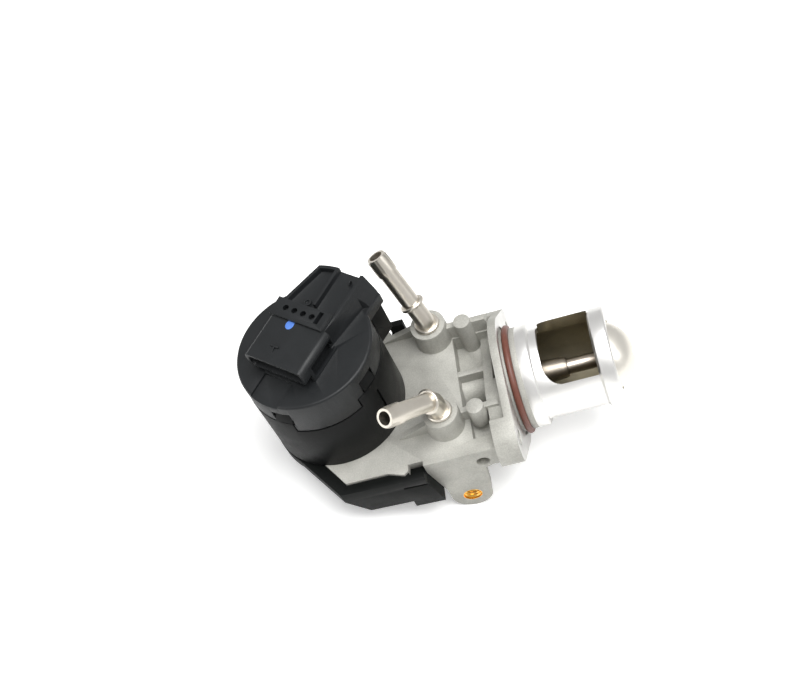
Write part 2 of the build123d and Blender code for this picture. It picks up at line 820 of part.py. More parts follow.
def tower_block():
    """Raised lead tower behind the socket, overhanging the cap's edge, walled left and ribbed on top."""
    outline = tower_outline()
    core = prism_z(outline, cap_top - 1, tower_top)
    wall = outline - offset(outline, -tower_rib)
    wall &= Pos(strip_end - 2, 0) * Rectangle(tower_end, tower_end, align=Align.MIN)
    core += prism_z(wall, tower_top - 1, tower_rib_top)
    half = tower_rib / 2
    inner = 0.2 - strip_right
    for y in tower_rib_places:
        core += block(strip_end, tower_end, y - half, y + half, tower_top - 1, tower_rib_top)
    side = Polyline((inner, tower_bottom), (-tower_right, tower_bottom), (-tower_right, tower_bottom + 4),
                    (-tower_slope_w, tower_slope_z), (tower_rib_places[0] - half, tower_rib_top),
                    (inner, tower_rib_top), close=True)
    roof = extrude(Plane.YZ.offset(strip_start) * make_face(side), amount=tower_end - strip_start)
    plan = Polyline((strip_start, inner), (strip_start, -strip_right), (cap_r - 4.3, -tower_slope_w + 1.7),
                    (cap_r - 2.4, -tower_right), (tower_end, -tower_right), (tower_end, inner), close=True)
    core += roof & prism_z(make_face(plan), tower_bottom, tower_rib_top)
    under = block(0, tower_end, -tower_right, duct_left, tower_bottom, cap_top)
    core += under - z_cylinder(cap_r - 1, tower_bottom - 1, cap_top + 1)
    core -= z_cylinder(cap_r - 1, tower_bottom - 1, cap_top - 1)
    return core


def motor_cap():
    """Cap over the motor with the socket, the lead tower and skirt windows for the shell's hooks."""
    cup = z_cylinder(cap_r, cap_tab_z, cap_top)
    cup = fillet(cup.edges().group_by(Axis.Z)[-1], cap_edge)
    cup -= z_cylinder(cap_r - cap_wall, cap_tab_z, cap_top - cap_roof)
    ring = Circle(cap_r + 1) - Circle(cap_r - cap_wall - 1)
    for start, end in cap_tab_sectors:
        ring -= pie(cap_r + 2, start, end)
    cup -= prism_z(ring, cap_tab_z, cap_skirt_z)
    half = hook_width / 2 + 0.4
    for angle in hook_angles:
        window = block(cap_r - cap_wall - 1, cap_r + 1, -half, half, cap_skirt_z - 1,
                       hook_z + hook_height + 0.8)
        cup -= Rot(0, 0, angle) * window
    cup = Pos(motor_x, 0, 0) * cup + in_tower(tower_block()) + in_tower(socket_block())
    channel = block(-cap_r, socket_front, -channel_right, channel_left, cap_top - channel_depth, cap_top + 1)
    cup -= in_tower(channel)
    cup -= lead_room_block(tower_bottom, lead_z + lead_thick + 1)
    across = block(socket_back, lead_s + 1.2, lead_w - lead_room, lead_w + lead_room,
                   lead_z - 1, lead_z + lead_thick + 1)
    return cup - in_tower(across) - terminal_pins()


def motor_can():
    top = can_base + can_height
    can = z_cylinder(can_r, can_base, top) - z_cylinder(can_r - can_wall, can_base + can_wall, top)
    can += z_cylinder(nose_r, plate_bottom + 0.6, can_base)
    can -= z_cylinder(bearing_r, can_base - 2.4, can_base + can_wall)
    can -= z_cylinder(shaft_r + 1.0, plate_bottom, can_base)
    return Pos(motor_x, 0, 0) * can


def field_magnets():
    outer = can_r - can_wall
    ring = Circle(outer) - Circle(outer - magnet_thick)
    low = rotor_base - 1
    high = rotor_base + rotor_len + 1
    arcs = [prism_z(ring & pie(can_r, a, a + magnet_span), low, high) for a in magnet_starts]
    return Compound([Pos(motor_x, 0, 0) * arc for arc in arcs])


def motor_shaft():
    return z_cylinder(shaft_r, wheel_z, can_base + can_height + 3, motor_x)


def rotor_core():
    """Slotted stack of laminations."""
    face = Circle(rotor_r) - Circle(shaft_r)
    for i in range(rotor_slots):
        face -= Rot(0, 0, 360 / rotor_slots * i) * Pos(rotor_r - 3.0, 0) * Rectangle(6.4, 2.0)
        face -= Rot(0, 0, 360 / rotor_slots * i) * Pos(rotor_r - 5.0, 0) * Circle(2.6)
    return Pos(motor_x, 0, 0) * prism_z(face, rotor_base, rotor_base + rotor_len)


def commutator():
    z0 = rotor_base + rotor_len + 2
    ring = Circle(commutator_r) - Circle(shaft_r)
    for i in range(rotor_slots):
        ring -= Rot(0, 0, 360 / rotor_slots * i) * Pos(commutator_r, 0) * Rectangle(1.6, 0.5)
    return Pos(motor_x, 0, 0) * prism_z(ring, z0, z0 + commutator_len)


def bearing(z0):
    ring = Circle(bearing_r) - Circle(shaft_r + running_gap)
    return Pos(motor_x, 0, 0) * prism_z(ring, z0, z0 + bearing_len - 0.1)


def brush_plate():
    """End plate of the motor with the upper bearing seat and two brush boxes."""
    top = can_base + can_height
    plate = z_cylinder(can_r - can_wall, top - 2, top) + z_cylinder(bearing_r + 1.6, top, top + bearing_len)
    plate -= z_cylinder(bearing_r, top, top + bearing_len)
    plate -= z_cylinder(shaft_r + 1, top - 2, top)
    z_mid = rotor_base + rotor_len + 2 + commutator_len / 2
    for side in (0, 180):
        box = block(commutator_r + 4, commutator_r + 10, -2.4, 2.4, z_mid - 2.4, top - 2)
        box -= block(commutator_r + 4, commutator_r + 10, -1.6, 1.6, z_mid - 1.6, z_mid + 1.6)
        plate += Rot(0, 0, side) * box
    return Pos(motor_x, 0, 0) * plate


def brushes():
    z_mid = rotor_base + rotor_len + 2 + commutator_len / 2
    pair = [Rot(0, 0, side) * block(commutator_r + 0.3, commutator_r + 9, -1.5, 1.5, z_mid - 1.5, z_mid + 1.5)
            for side in (0, 180)]
    return Compound([Pos(motor_x, 0, 0) * b for b in pair])


def cover_outline():
    """Tub outline: round behind the motor, a slanted side and a straight front."""
    leave = polar(cover_left_r, 226, motor_x)
    arc = ThreePointArc((motor_x, cover_left_r), (motor_x - cover_left_r, 0), leave)
    path = Polyline(leave, (cover_corner_x, cover_corner_y), (cover_right, cover_front),
                    (cover_right, cover_back), (motor_x, cover_back), (motor_x, cover_left_r))
    return make_face([arc, path])


def cover_inside():
    """Everything left of the cover's right wall."""
    return Pos(cover_right - cover_wall, 0) * Rectangle(90, 100, align=(Align.MAX, Align.CENTER))


def gear_cover():
    """Moulded tub that closes the gear space and grips the plate's edge."""
    outline = cover_outline()
    tub = prism_z(outline, cover_floor, cover_top)
    base = tub.faces().sort_by(Axis.Z)[0]
    sloped = base.edges().sort_by(Axis.X)[:2]
    tub = chamfer(sloped, cover_taper_inset, cover_taper_z - cover_floor, reference=base)
    deep = block(output_x - deep_reach, cover_right, -deep_half, deep_half, cover_deep_floor, 0)
    lip = block(cover_lip_x, cover_right, cover_front, -deep_half, cover_deep_floor, 0)
    tub += (deep + lip) & prism_z(outline, cover_deep_floor, cover_top)
    duct = in_tower(block(20, duct_end, duct_right, duct_left, cover_floor, cover_top))
    tub += duct
    tub += block(catch_left, catch_right, plate_back + plate_gap, cover_back, cover_floor, catch_top)
    plate = plate_outline()
    tub -= prism_z(offset(plate, plate_gap), plate_bottom - seal_height, cover_top)
    tub -= block(cover_right - 3, 0, body_front, plate_back, plate_bottom - seal_height, cover_top)
    tub -= prism_y(corner_face(plate_gap), cover_front, body_front + lug_thick + plate_gap)
    tub -= block(corner_foot, 0, cover_front, body_front + lug_thick, cover_deep_floor, cover_top)
    tub -= block(notch_left, 0, notch_front, body_front + lug_thick, notch_floor, cover_top)
    tub -= prism_z(offset(plate, -seat_ledge) & cover_inside(), sector_z - gear_clearance, plate_bottom)
    tub -= prism_z(offset(plate, -seat_ledge - cover_taper_inset) & cover_inside(),
                   cover_floor + cover_wall, sector_z)
    room_half = deep_half - cover_wall
    tub -= block(output_x - deep_reach + cover_wall, cover_right - cover_wall, -room_half, room_half,
                 cover_deep_floor + cover_wall, 0)
    tub -= x_cylinder(guide_boss_r + plate_gap, cover_right - cover_wall - 1, cover_right + 1)
    tub -= lead_room_block(cover_floor + cover_wall, cover_top)
    return tub - block(slit_left, slit_right, cover_front, cover_front + slit_depth, slit_low, slit_high)


def cover_seal():
    """Flat seal between the cover's ledge and the underside of the plate."""
    plate = plate_outline()
    band = offset(plate, -0.4) - offset(plate, -seat_ledge + 0.4)
    band = prism_z(band & cover_inside(), plate_bottom - seal_height, plate_bottom)
    band -= prism_y(corner_face(plate_gap), cover_front, body_front + lug_thick + plate_gap)
    loop = in_tower(block(lead_s - 2.4, lead_s + 2.4, lead_w - lead_room - 1.2, lead_w + lead_room + 1.2,
                          plate_bottom - seal_height, plate_bottom))
    band += loop & prism_z(offset(plate, -0.4), plate_bottom - seal_height, plate_bottom)
    return band - lead_room_block(plate_bottom - seal_height, plate_bottom)


def position_sensor():
    """Hall sensor block on the cover's floor under the ring magnet."""
    floor = cover_deep_floor + cover_wall
    body = block(output_x - 5, output_x + 5, -5, 5, floor, hub_bottom - 2.0)
    return body - z_cylinder(output_pin_r, floor, hub_bottom, output_x)


def coolant_pipe(y, bend_z, tilt, turn):
    """Hose nipple: seated leg, one bend, a bead and a barbed end."""
    dx, dy = polar(math.sin(math.radians(tilt)), turn)
    way = Vector(dx, dy, math.cos(math.radians(tilt)))
    corner = Vector(boss_x, y, bend_z)
    to_bead = (bead_z - bend_z) / way.Z
    mouth = corner + way * (to_bead + pipe_straight)
    foot = Vector(boss_x, y, pipe_seat)
    route = FilletPolyline(foot, corner, mouth, radius=pipe_bend_r)
    pipe = sweep(Plane(foot, z_dir=(0, 0, 1)) * Circle(pipe_r), path=route)
    pipe += barb(Plane(mouth, z_dir=-way))
    bead = Plane(corner + way * to_bead, z_dir=way)
    pipe += bead * Cylinder(bead_r, bead_len)
    pipe += z_cylinder(bead_r, boss_top, boss_top + bead_len, boss_x, y)
    return pipe - sweep(Plane(foot, z_dir=(0, 0, 1)) * Circle(pipe_bore), path=route)


def barb(end):
    grow = end * Cone(pipe_r, barb_r, barb_len - 1.5, align=BOTTOM)
    flat = end * Pos(0, 0, barb_len - 1.5) * Cylinder(barb_r, 1.5, align=BOTTOM)
    return grow + flat


def back_pipe():
    return coolant_pipe(boss_back_y, back_bend_z, back_pipe_tilt, back_pipe_turn)


def front_pipe():
    return coolant_pipe(boss_front_y, front_bend_z, front_pipe_tilt, front_pipe_turn)


parts = {
    "valve_housing": valve_housing,
    "seat_sleeve": seat_sleeve,
    "flange_seal": flange_seal,
    "thread_insert": thread_insert,
    "stem_bush": stem_bush,
    "lip_seal": lip_seal,
    "valve_stem": valve_stem,
    "valve_head": valve_head,
    "crosshead": crosshead,
    "roller_pin": roller_pin,
    "cam_roller": cam_roller,
    "output_gear": output_gear,
    "sensor_magnet": sensor_magnet,
    "output_pin": output_pin,
    "return_spring": return_spring,
    "reduction_gear": reduction_gear,
    "reduction_pin": reduction_pin,
    "drive_pinion": drive_pinion,
    "motor_shaft": motor_shaft,
    "rotor_core": rotor_core,
    "commutator": commutator,
    "motor_can": motor_can,
    "field_magnets": field_magnets,
    "lower_bearing": lambda: bearing(can_base - 2.4),
    "upper_bearing": lambda: bearing(can_base + can_height),
    "brush_plate": brush_plate,
    "brushes": brushes,
    "motor_shell": motor_shell,
    "motor_cap": motor_cap,
    "terminal_pins": terminal_pins,
    "signal_leads": signal_leads,
    "gear_cover": gear_cover,
    "cover_seal": cover_seal,
    "position_sensor": position_sensor,
    "back_pipe": back_pipe,
    "front_pipe": front_pipe,
}

os.makedirs("parts", exist_ok=True)
for name, make in parts.items():
    export_step(make(), f"parts/{name}.step")
    print(name)
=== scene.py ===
import bpy
import json
import math
from mathutils import Matrix, Vector


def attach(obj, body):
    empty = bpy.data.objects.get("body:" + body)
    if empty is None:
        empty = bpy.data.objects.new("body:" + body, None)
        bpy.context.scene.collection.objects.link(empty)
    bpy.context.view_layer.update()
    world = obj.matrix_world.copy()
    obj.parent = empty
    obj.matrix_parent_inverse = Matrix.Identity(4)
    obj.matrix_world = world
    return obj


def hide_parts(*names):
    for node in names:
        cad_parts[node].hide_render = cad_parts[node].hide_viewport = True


# Electric exhaust gas recirculation valve: looks, light and camera.
# The frame is the CAD part's: +X out of the flange along the valve, +Z the motor's axis.

mm = 0.001
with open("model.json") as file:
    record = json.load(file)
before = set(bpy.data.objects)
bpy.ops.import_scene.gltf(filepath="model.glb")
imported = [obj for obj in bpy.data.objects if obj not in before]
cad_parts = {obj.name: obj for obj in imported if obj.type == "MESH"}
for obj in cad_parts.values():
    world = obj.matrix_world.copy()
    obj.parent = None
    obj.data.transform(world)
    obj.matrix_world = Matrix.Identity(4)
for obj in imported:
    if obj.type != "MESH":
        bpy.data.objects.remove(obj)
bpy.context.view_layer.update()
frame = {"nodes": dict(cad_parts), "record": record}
nodes = frame["nodes"]
print("frame loaded:", len(nodes), "nodes")


# small helpers

facing = 0.9  # how squarely a face has to look one way to be picked for it
weldGap = 0.00001  # m, corners closer than this become one
flatTurn = 0.6  # degrees, faces that turn less than this become one
roundLook = {"sharp": 38, "smooth": 36, "segments": 2}  # degrees: edges rounded from, faces smooth up to


def toLinear(hexText):
    # sRGB hex to the linear values that the shader wants
    out = []
    for i in (1, 3, 5):
        c = int(hexText[i:i + 2], 16) / 255
        out.append(c / 12.92 if c <= 0.04045 else ((c + 0.055) / 1.055) ** 2.4)
    return (out[0], out[1], out[2], 1.0)


def addNode(tree, kind, settings=None, values=None, links=None):
    # one node, its settings, its fixed inputs and what is plugged into it
    node = tree.nodes.new("ShaderNode" + kind)
    for name, value in (settings or {}).items():
        setattr(node, name, value)
    for name, value in (values or {}).items():
        node.inputs[name].default_value = toLinear(value) if isinstance(value, str) else value
    for name, source in (links or {}).items():
        tree.links.new(source, node.inputs[name])
    return node


def newMaterial(name):
    mat = bpy.data.materials.new(name)
    mat.use_nodes = True
    tree = mat.node_tree
    tree.nodes.clear()
    shader = addNode(tree, "BsdfPrincipled")
    addNode(tree, "OutputMaterial", links={"Surface": shader.outputs[0]})
    return mat, tree, shader, addNode(tree, "TexCoord").outputs["Object"]


def perMm(size):
    # texture scale for a pattern that repeats about every size mm
    return 1 / (size * mm)


def deselectAll():
    if bpy.context.object and bpy.context.object.mode != "OBJECT":
        bpy.ops.object.mode_set(mode="OBJECT")
    bpy.ops.object.select_all(action="DESELECT")


def selectOnly(obj):
    deselectAll()
    obj.select_set(True)
    bpy.context.view_layer.objects.active = obj


def applyModifier(obj, kind, **settings):
    modifier = obj.modifiers.new(kind.lower(), kind)
    for name, value in settings.items():
        setattr(modifier, name, value)
    selectOnly(obj)
    bpy.ops.object.modifier_apply(modifier=modifier.name)


def pickFaces(obj, test):
    # in edit mode: selects the faces whose middle and normal pass the test
    bpy.ops.object.mode_set(mode="EDIT")
    bpy.ops.mesh.select_mode(type="FACE")
    bpy.ops.mesh.select_all(action="DESELECT")
    bpy.ops.object.mode_set(mode="OBJECT")
    for face in obj.data.polygons:
        face.select = test(face.center, face.normal)
    bpy.ops.object.mode_set(mode="EDIT")


def settle(obj, name, place, turn, material, body, bevel=0.0, angle=40):
    # puts a finished piece at its place (m), turned by a matrix, and gives it its body and finish
    if obj.mode != "OBJECT":
        bpy.ops.object.mode_set(mode="OBJECT")
    obj.name = name
    if bevel:
        applyModifier(obj, "BEVEL", width=bevel * mm, segments=roundLook["segments"],
                      limit_method="ANGLE", angle_limit=math.radians(angle))
    obj.matrix_world = Matrix.Translation(place) @ turn.to_4x4()
    selectOnly(obj)
    bpy.ops.object.transform_apply(location=True, rotation=True, scale=True)
    bpy.ops.object.shade_smooth_by_angle(angle=math.radians(angle))
    obj.data.materials.clear()
    obj.data.materials.append(material)
    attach(obj, body)
    return obj


# materials

castLook = {"low": "#a3a29b", "high": "#b7b6af", "grit": 0.6, "patch": 11.0, "pits": 3.0, "metal": 0.3,
            "rough": (0.5, 0.68)}  # grit, patch and pits in mm


def makeCastAluminium():
    # die-cast aluminium, tumbled with fine grit: an even pale grey with a sandy sparkle and small pits
    mat, tree, shader, at = newMaterial("dieCastAluminiumTumbled")
    look = castLook
    cloud = addNode(tree, "TexNoise", links={"Vector": at},
                    values={"Scale": perMm(look["patch"]), "Detail": 3.0, "Roughness": 0.55})
    grit = addNode(tree, "TexNoise", values={"Scale": perMm(look["grit"]), "Detail": 3.0, "Roughness": 0.65},
                   links={"Vector": at})
    pits = addNode(tree, "TexVoronoi", {"feature": "F1"}, {"Scale": perMm(look["pits"]), "Randomness": 1.0},
                   {"Vector": at})
    pitMask = addNode(tree, "MapRange", values={"From Min": 0.05, "From Max": 0.16},
                      links={"Value": pits.outputs["Distance"]})
    tone = addNode(tree, "MapRange", values={"From Min": 0.3, "From Max": 0.7},
                   links={"Value": cloud.outputs["Fac"]})
    tint = addNode(tree, "Mix", {"data_type": "RGBA"}, {6: look["low"], 7: look["high"]},
                   {0: tone.outputs[0]})
    gritTone = addNode(tree, "MapRange", links={"Value": grit.outputs["Fac"]},
                       values={"From Min": 0.35, "From Max": 0.65, "To Min": 0.84, "To Max": 1.06})
    colour = addNode(tree, "VectorMath", {"operation": "SCALE"},
                     links={0: tint.outputs[2], "Scale": gritTone.outputs[0]})
    tree.links.new(colour.outputs[0], shader.inputs["Base Color"])
    rough = addNode(tree, "MapRange", values={"To Min": look["rough"][0], "To Max": look["rough"][1]},
                    links={"Value": grit.outputs["Fac"]})
    tree.links.new(rough.outputs[0], shader.inputs["Roughness"])
    shader.inputs["Metallic"].default_value = look["metal"]
    fine = addNode(tree, "Bump", values={"Strength": 0.5, "Distance": 0.1 * mm},
                   links={"Height": grit.outputs["Fac"]})
    deep = addNode(tree, "Bump", values={"Strength": 0.35, "Distance": 0.08 * mm},
                   links={"Height": pitMask.outputs[0], "Normal": fine.outputs[0]})
    tree.links.new(deep.outputs[0], shader.inputs["Normal"])
    return mat


milledLook = {"low": "#cfcecb", "high": "#e2e1de", "feed": 0.5}  # feed: mm between the cutter's arcs
oneWave = 0.32  # scale at which a wave texture repeats once in a unit of length


def makeMilledAluminium():
    # the same casting where it is faced off: bright, with fine arcs from the cutter, wide enough to show
    mat, tree, shader, at = newMaterial("milledAluminium")
    arcs = addNode(tree, "TexWave", {"wave_type": "RINGS", "rings_direction": "X"},
                   {"Scale": oneWave * perMm(milledLook["feed"]), "Distortion": 1.2, "Detail": 2.0},
                   {"Vector": at})
    haze = addNode(tree, "TexNoise", values={"Scale": perMm(7.0), "Detail": 3.0}, links={"Vector": at})
    tint = addNode(tree, "Mix", {"data_type": "RGBA"}, {6: milledLook["low"], 7: milledLook["high"]},
                   {0: haze.outputs["Fac"]})
    tree.links.new(tint.outputs[2], shader.inputs["Base Color"])
    rough = addNode(tree, "MapRange", values={"To Min": 0.28, "To Max": 0.4},
                    links={"Value": arcs.outputs["Fac"]})
    tree.links.new(rough.outputs[0], shader.inputs["Roughness"])
    shader.inputs["Metallic"].default_value = 1.0
    lay = addNode(tree, "Bump", values={"Strength": 0.15, "Distance": 0.03 * mm},
                  links={"Height": arcs.outputs["Fac"]})
    tree.links.new(lay.outputs[0], shader.inputs["Normal"])
    return mat


def makeTurned(name, low, high, feed, roughLow, roughHigh):
    # turned on a lathe round the valve's axis: fine feed rings, drawn as coarse as they need to be to show
    mat, tree, shader, at = newMaterial(name)
    rings = addNode(tree, "TexWave", {"wave_type": "BANDS", "bands_direction": "X"},
                    {"Scale": oneWave * perMm(feed), "Distortion": 0.5, "Detail": 2.0, "Detail Scale": 2.0},
                    {"Vector": at})
    haze = addNode(tree, "TexNoise", values={"Scale": perMm(8.0), "Detail": 4.0, "Roughness": 0.6},
                   links={"Vector": at})
    tint = addNode(tree, "Mix", {"data_type": "RGBA"}, {6: low, 7: high}, {0: haze.outputs["Fac"]})
    tree.links.new(tint.outputs[2], shader.inputs["Base Color"])
    rough = addNode(tree, "MapRange", values={"From Min": 0.3, "From Max": 0.7, "To Min": roughLow,
                                              "To Max": roughHigh}, links={"Value": haze.outputs["Fac"]})
    tree.links.new(rough.outputs[0], shader.inputs["Roughness"])
    shader.inputs["Metallic"].default_value = 1.0
    lay = addNode(tree, "Bump", values={"Strength": 0.05, "Distance": 0.03 * mm},
                  links={"Height": rings.outputs["Fac"]})
    tree.links.new(lay.outputs[0], shader.inputs["Normal"])
    return mat


tubeLook = {"low": "#d0c9bd", "high": "#dfdad0", "streak": 0.7, "rough": (0.3, 0.36)}  # streak in mm


def makeDrawnTube():
    # drawn stainless tube, bent and satin-blasted: warm grey with a few long scratches and darker hazy spots
    mat, tree, shader, at = newMaterial("drawnStainlessTube")
    haze = addNode(tree, "TexNoise", values={"Scale": perMm(5.0), "Detail": 4.0, "Roughness": 0.6},
                   links={"Vector": at})
    along = addNode(tree, "Mapping", values={"Scale": (1.0, 1.0, 0.1)}, links={"Vector": at})
    scratch = addNode(tree, "TexNoise", values={"Scale": perMm(tubeLook["streak"]), "Detail": 3.0},
                      links={"Vector": along.outputs[0]})
    tint = addNode(tree, "Mix", {"data_type": "RGBA"}, {6: tubeLook["low"], 7: tubeLook["high"]},
                   {0: haze.outputs["Fac"]})
    tree.links.new(tint.outputs[2], shader.inputs["Base Color"])
    rough = addNode(tree, "MapRange", links={"Value": haze.outputs["Fac"]},
                    values={"From Min": 0.3, "From Max": 0.7, "To Min": tubeLook["rough"][0],
                            "To Max": tubeLook["rough"][1]})
    tree.links.new(rough.outputs[0], shader.inputs["Roughness"])
    shader.inputs["Metallic"].default_value = 1.0
    lay = addNode(tree, "Bump", values={"Strength": 0.04, "Distance": 0.03 * mm},
                  links={"Height": scratch.outputs["Fac"]})
    tree.links.new(lay.outputs[0], shader.inputs["Normal"])
    return mat


def makeMoulded(name, low, high, spark, rough, sheen=0.5):
    # glass-filled nylon from the mould: near black and satin, spark-eroded grain, faint flow marks
    mat, tree, shader, at = newMaterial(name)
    flow = addNode(tree, "TexNoise", links={"Vector": at},
                   values={"Scale": perMm(13.0), "Detail": 4.0, "Roughness": 0.6, "Distortion": 0.8})
    grain = addNode(tree, "TexNoise", values={"Scale": perMm(spark), "Detail": 2.0, "Roughness": 0.6},
                    links={"Vector": at})
    tint = addNode(tree, "Mix", {"data_type": "RGBA"}, {6: low, 7: high}, {0: flow.outputs["Fac"]})
    tree.links.new(tint.outputs[2], shader.inputs["Base Color"])
    both = addNode(tree, "Math", {"operation": "ADD"},
                   links={0: flow.outputs["Fac"], 1: grain.outputs["Fac"]})
    satin = addNode(tree, "MapRange", values={"From Min": 0.6, "From Max": 1.4, "To Min": rough - 0.08,
                                              "To Max": rough + 0.1}, links={"Value": both.outputs[0]})
    tree.links.new(satin.outputs[0], shader.inputs["Roughness"])
    shader.inputs["IOR"].default_value = 1.53
    shader.inputs["Specular IOR Level"].default_value = sheen
    fine = addNode(tree, "Bump", values={"Strength": 0.3, "Distance": 0.05 * mm},
                   links={"Height": grain.outputs["Fac"]})
    soft = addNode(tree, "Bump", values={"Strength": 0.12, "Distance": 0.4 * mm},
                   links={"Height": flow.outputs["Fac"], "Normal": fine.outputs[0]})
    tree.links.new(soft.outputs[0], shader.inputs["Normal"])
    return mat


def makeMetal(name, low, high, roughLow, roughHigh, grain=1.2, metal=1.0):
    # plainly worked metal: two close tones, a fine grain in the gloss
    mat, tree, shader, at = newMaterial(name)
    haze = addNode(tree, "TexNoise", values={"Scale": perMm(grain * 4), "Detail": 3.0}, links={"Vector": at})
    fine = addNode(tree, "TexNoise", values={"Scale": perMm(grain * 0.4), "Detail": 2.0},
                   links={"Vector": at})
    tint = addNode(tree, "Mix", {"data_type": "RGBA"}, {6: low, 7: high}, {0: haze.outputs["Fac"]})
    tree.links.new(tint.outputs[2], shader.inputs["Base Color"])
    rough = addNode(tree, "MapRange", values={"To Min": roughLow, "To Max": roughHigh},
                    links={"Value": fine.outputs["Fac"]})
    tree.links.new(rough.outputs[0], shader.inputs["Roughness"])
    shader.inputs["Metallic"].default_value = metal
    lay = addNode(tree, "Bump", values={"Strength": 0.15, "Distance": 0.03 * mm},
                  links={"Height": fine.outputs["Fac"]})
    tree.links.new(lay.outputs[0], shader.inputs["Normal"])
    return mat


def makeRubber(name, low, high, rough):
    # moulded rubber: soft sheen, with a light bloom where it has been handled
    mat, tree, shader, at = newMaterial(name)
    bloom = addNode(tree, "TexNoise", values={"Scale": perMm(3.0), "Detail": 4.0, "Roughness": 0.6},
                    links={"Vector": at})
    skin = addNode(tree, "TexNoise", values={"Scale": perMm(0.4), "Detail": 2.0}, links={"Vector": at})
    tint = addNode(tree, "Mix", {"data_type": "RGBA"}, {6: low, 7: high}, {0: bloom.outputs["Fac"]})
    tree.links.new(tint.outputs[2], shader.inputs["Base Color"])
    satin = addNode(tree, "MapRange", values={"To Min": rough - 0.08, "To Max": rough + 0.12},
                    links={"Value": bloom.outputs["Fac"]})
    tree.links.new(satin.outputs[0], shader.inputs["Roughness"])
    shader.inputs["IOR"].default_value = 1.5
    lay = addNode(tree, "Bump", values={"Strength": 0.12, "Distance": 0.05 * mm},
                  links={"Height": skin.outputs["Fac"]})
    tree.links.new(lay.outputs[0], shader.inputs["Normal"])
    return mat


castAluminium = makeCastAluminium()
milledAluminium = makeMilledAluminium()
sleeveSteel = makeTurned("turnedStainlessSleeve", "#e9e8e5", "#f1f0ee", 0.8, 0.33, 0.38)
headSteel = makeTurned("blastedValveSteel", "#e6e2d8", "#efebe2", 0.9, 0.34, 0.4)
# painted shade: a darker colour for the sleeve's bore faces, for the shade seen through its window
boreShadeSteel = makeTurned("sleeveBorePaintedShade", "#a29a85", "#b6ae98", 0.9, 0.42, 0.5)
stemSteel = makeMetal("groundStemSteel", "#a0978c", "#b2a99e", 0.28, 0.34, 0.8)
bushSteel = makeMetal("sinteredBushSteel", "#8b8378", "#9e968b", 0.32, 0.4, 0.9)
tubeSteel = makeDrawnTube()
capNylon = makeMoulded("glassFilledNylonCap", "#151718", "#1d1f21", 0.45, 0.42, 0.28)
shellNylon = makeMoulded("glassFilledNylonShell", "#0b0c0c", "#111212", 0.5, 0.42, 0.12)
coverNylon = makeMoulded("glassFilledNylonCover", "#090b0a", "#0f1110", 0.5, 0.48, 0.12)
gearNylon = makeMoulded("acetalGear", "#c9c3b4", "#d8d3c6", 0.6, 0.35)
sealRubber = makeRubber("fluoroRubberSeal", "#51291f", "#744537", 0.4)
blackRubber = makeRubber("nitrileRubber", "#111111", "#1b1b1b", 0.5)
insertBrass = makeMetal("yellowPassivatedInsert", "#e3a640", "#f6cf78", 0.14, 0.28, 0.6)
innerSteel = makeMetal("bearingSteel", "#8e8c88", "#a8a6a2", 0.18, 0.35)
ferrite = makeMetal("sinteredFerrite", "#1c1c1d", "#2a2a2b", 0.45, 0.6, 1.0, 0.2)
laminations = makeMetal("rotorLaminations", "#5a5855", "#72706c", 0.3, 0.45)
contactCopper = makeMetal("tinnedContactCopper", "#b39a7c", "#cbb79c", 0.18, 0.3)
bluePaint = makeRubber("blueMarkingPaint", "#3e69bb", "#5984cf", 0.5)
print("materials ready:", len(bpy.data.materials))

finishes = {
    "valve_housing": castAluminium, "seat_sleeve": sleeveSteel, "valve_head": headSteel,
    "valve_stem": stemSteel, "stem_bush": bushSteel, "flange_seal": sealRubber, "lip_seal": blackRubber,
    "cover_seal": blackRubber, "thread_insert": insertBrass, "back_pipe": tubeSteel, "front_pipe": tubeSteel,
    "motor_cap": capNylon, "motor_shell": shellNylon, "gear_cover": coverNylon, "position_sensor": coverNylon,
    "brush_plate": gearNylon, "output_gear": gearNylon, "reduction_gear": gearNylon,
    "drive_pinion": insertBrass, "sensor_magnet": ferrite, "field_magnets": ferrite, "brushes": ferrite,
    "rotor_core": laminations, "commutator": contactCopper, "terminal_pins": contactCopper,
    "signal_leads": contactCopper,
}

# dressed copies of the main solids: joined up, edges rounded, curved faces smooth

bevelWidths = {  # mm
    "valve_housing": 0.5, "motor_cap": 0.35, "motor_shell": 0.4, "gear_cover": 0.5, "seat_sleeve": 0.2,
    "valve_head": 0.3, "stem_bush": 0.3, "valve_stem": 0.3, "flange_seal": 0.1,
}


def bodyOf(node):
    for body, members in frame["record"]["behaviour"]["bodies"].items():
        if node in members:
            return body


def joinedCopy(node):
    # the node's own faces, merged and with flat faces whole again
    copy = bpy.data.objects.new(node + "Dressed", nodes[node].data.copy())
    bpy.context.scene.collection.objects.link(copy)
    selectOnly(copy)
    bpy.ops.object.mode_set(mode="EDIT")
    bpy.ops.mesh.select_all(action="SELECT")
    bpy.ops.mesh.remove_doubles(threshold=weldGap)
    bpy.ops.mesh.tris_convert_to_quads(face_threshold=0.02, shape_threshold=0.6)
    bpy.ops.mesh.dissolve_limited(angle_limit=math.radians(flatTurn))
    bpy.ops.object.mode_set(mode="OBJECT")
    if bpy.ops.mesh.customdata_custom_splitnormals_clear.poll():
        bpy.ops.mesh.customdata_custom_splitnormals_clear()
    copy.data.materials.clear()
    copy.data.materials.append(finishes[node])
    return copy


def dressNode(copy, node):
    selectOnly(copy)
    bpy.ops.object.shade_smooth_by_angle(angle=math.radians(roundLook["smooth"]))
    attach(copy, bodyOf(node))
    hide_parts(node)


def roundEdges(copy, width):
    applyModifier(copy, "BEVEL", width=width * mm, segments=roundLook["segments"], limit_method="ANGLE",
                  angle_limit=math.radians(roundLook["sharp"]), use_clamp_overlap=True,
                  miter_outer="MITER_ARC")


def dressedCopy(node, width):
    copy = joinedCopy(node)
    roundEdges(copy, width)
    dressNode(copy, node)
    return copy


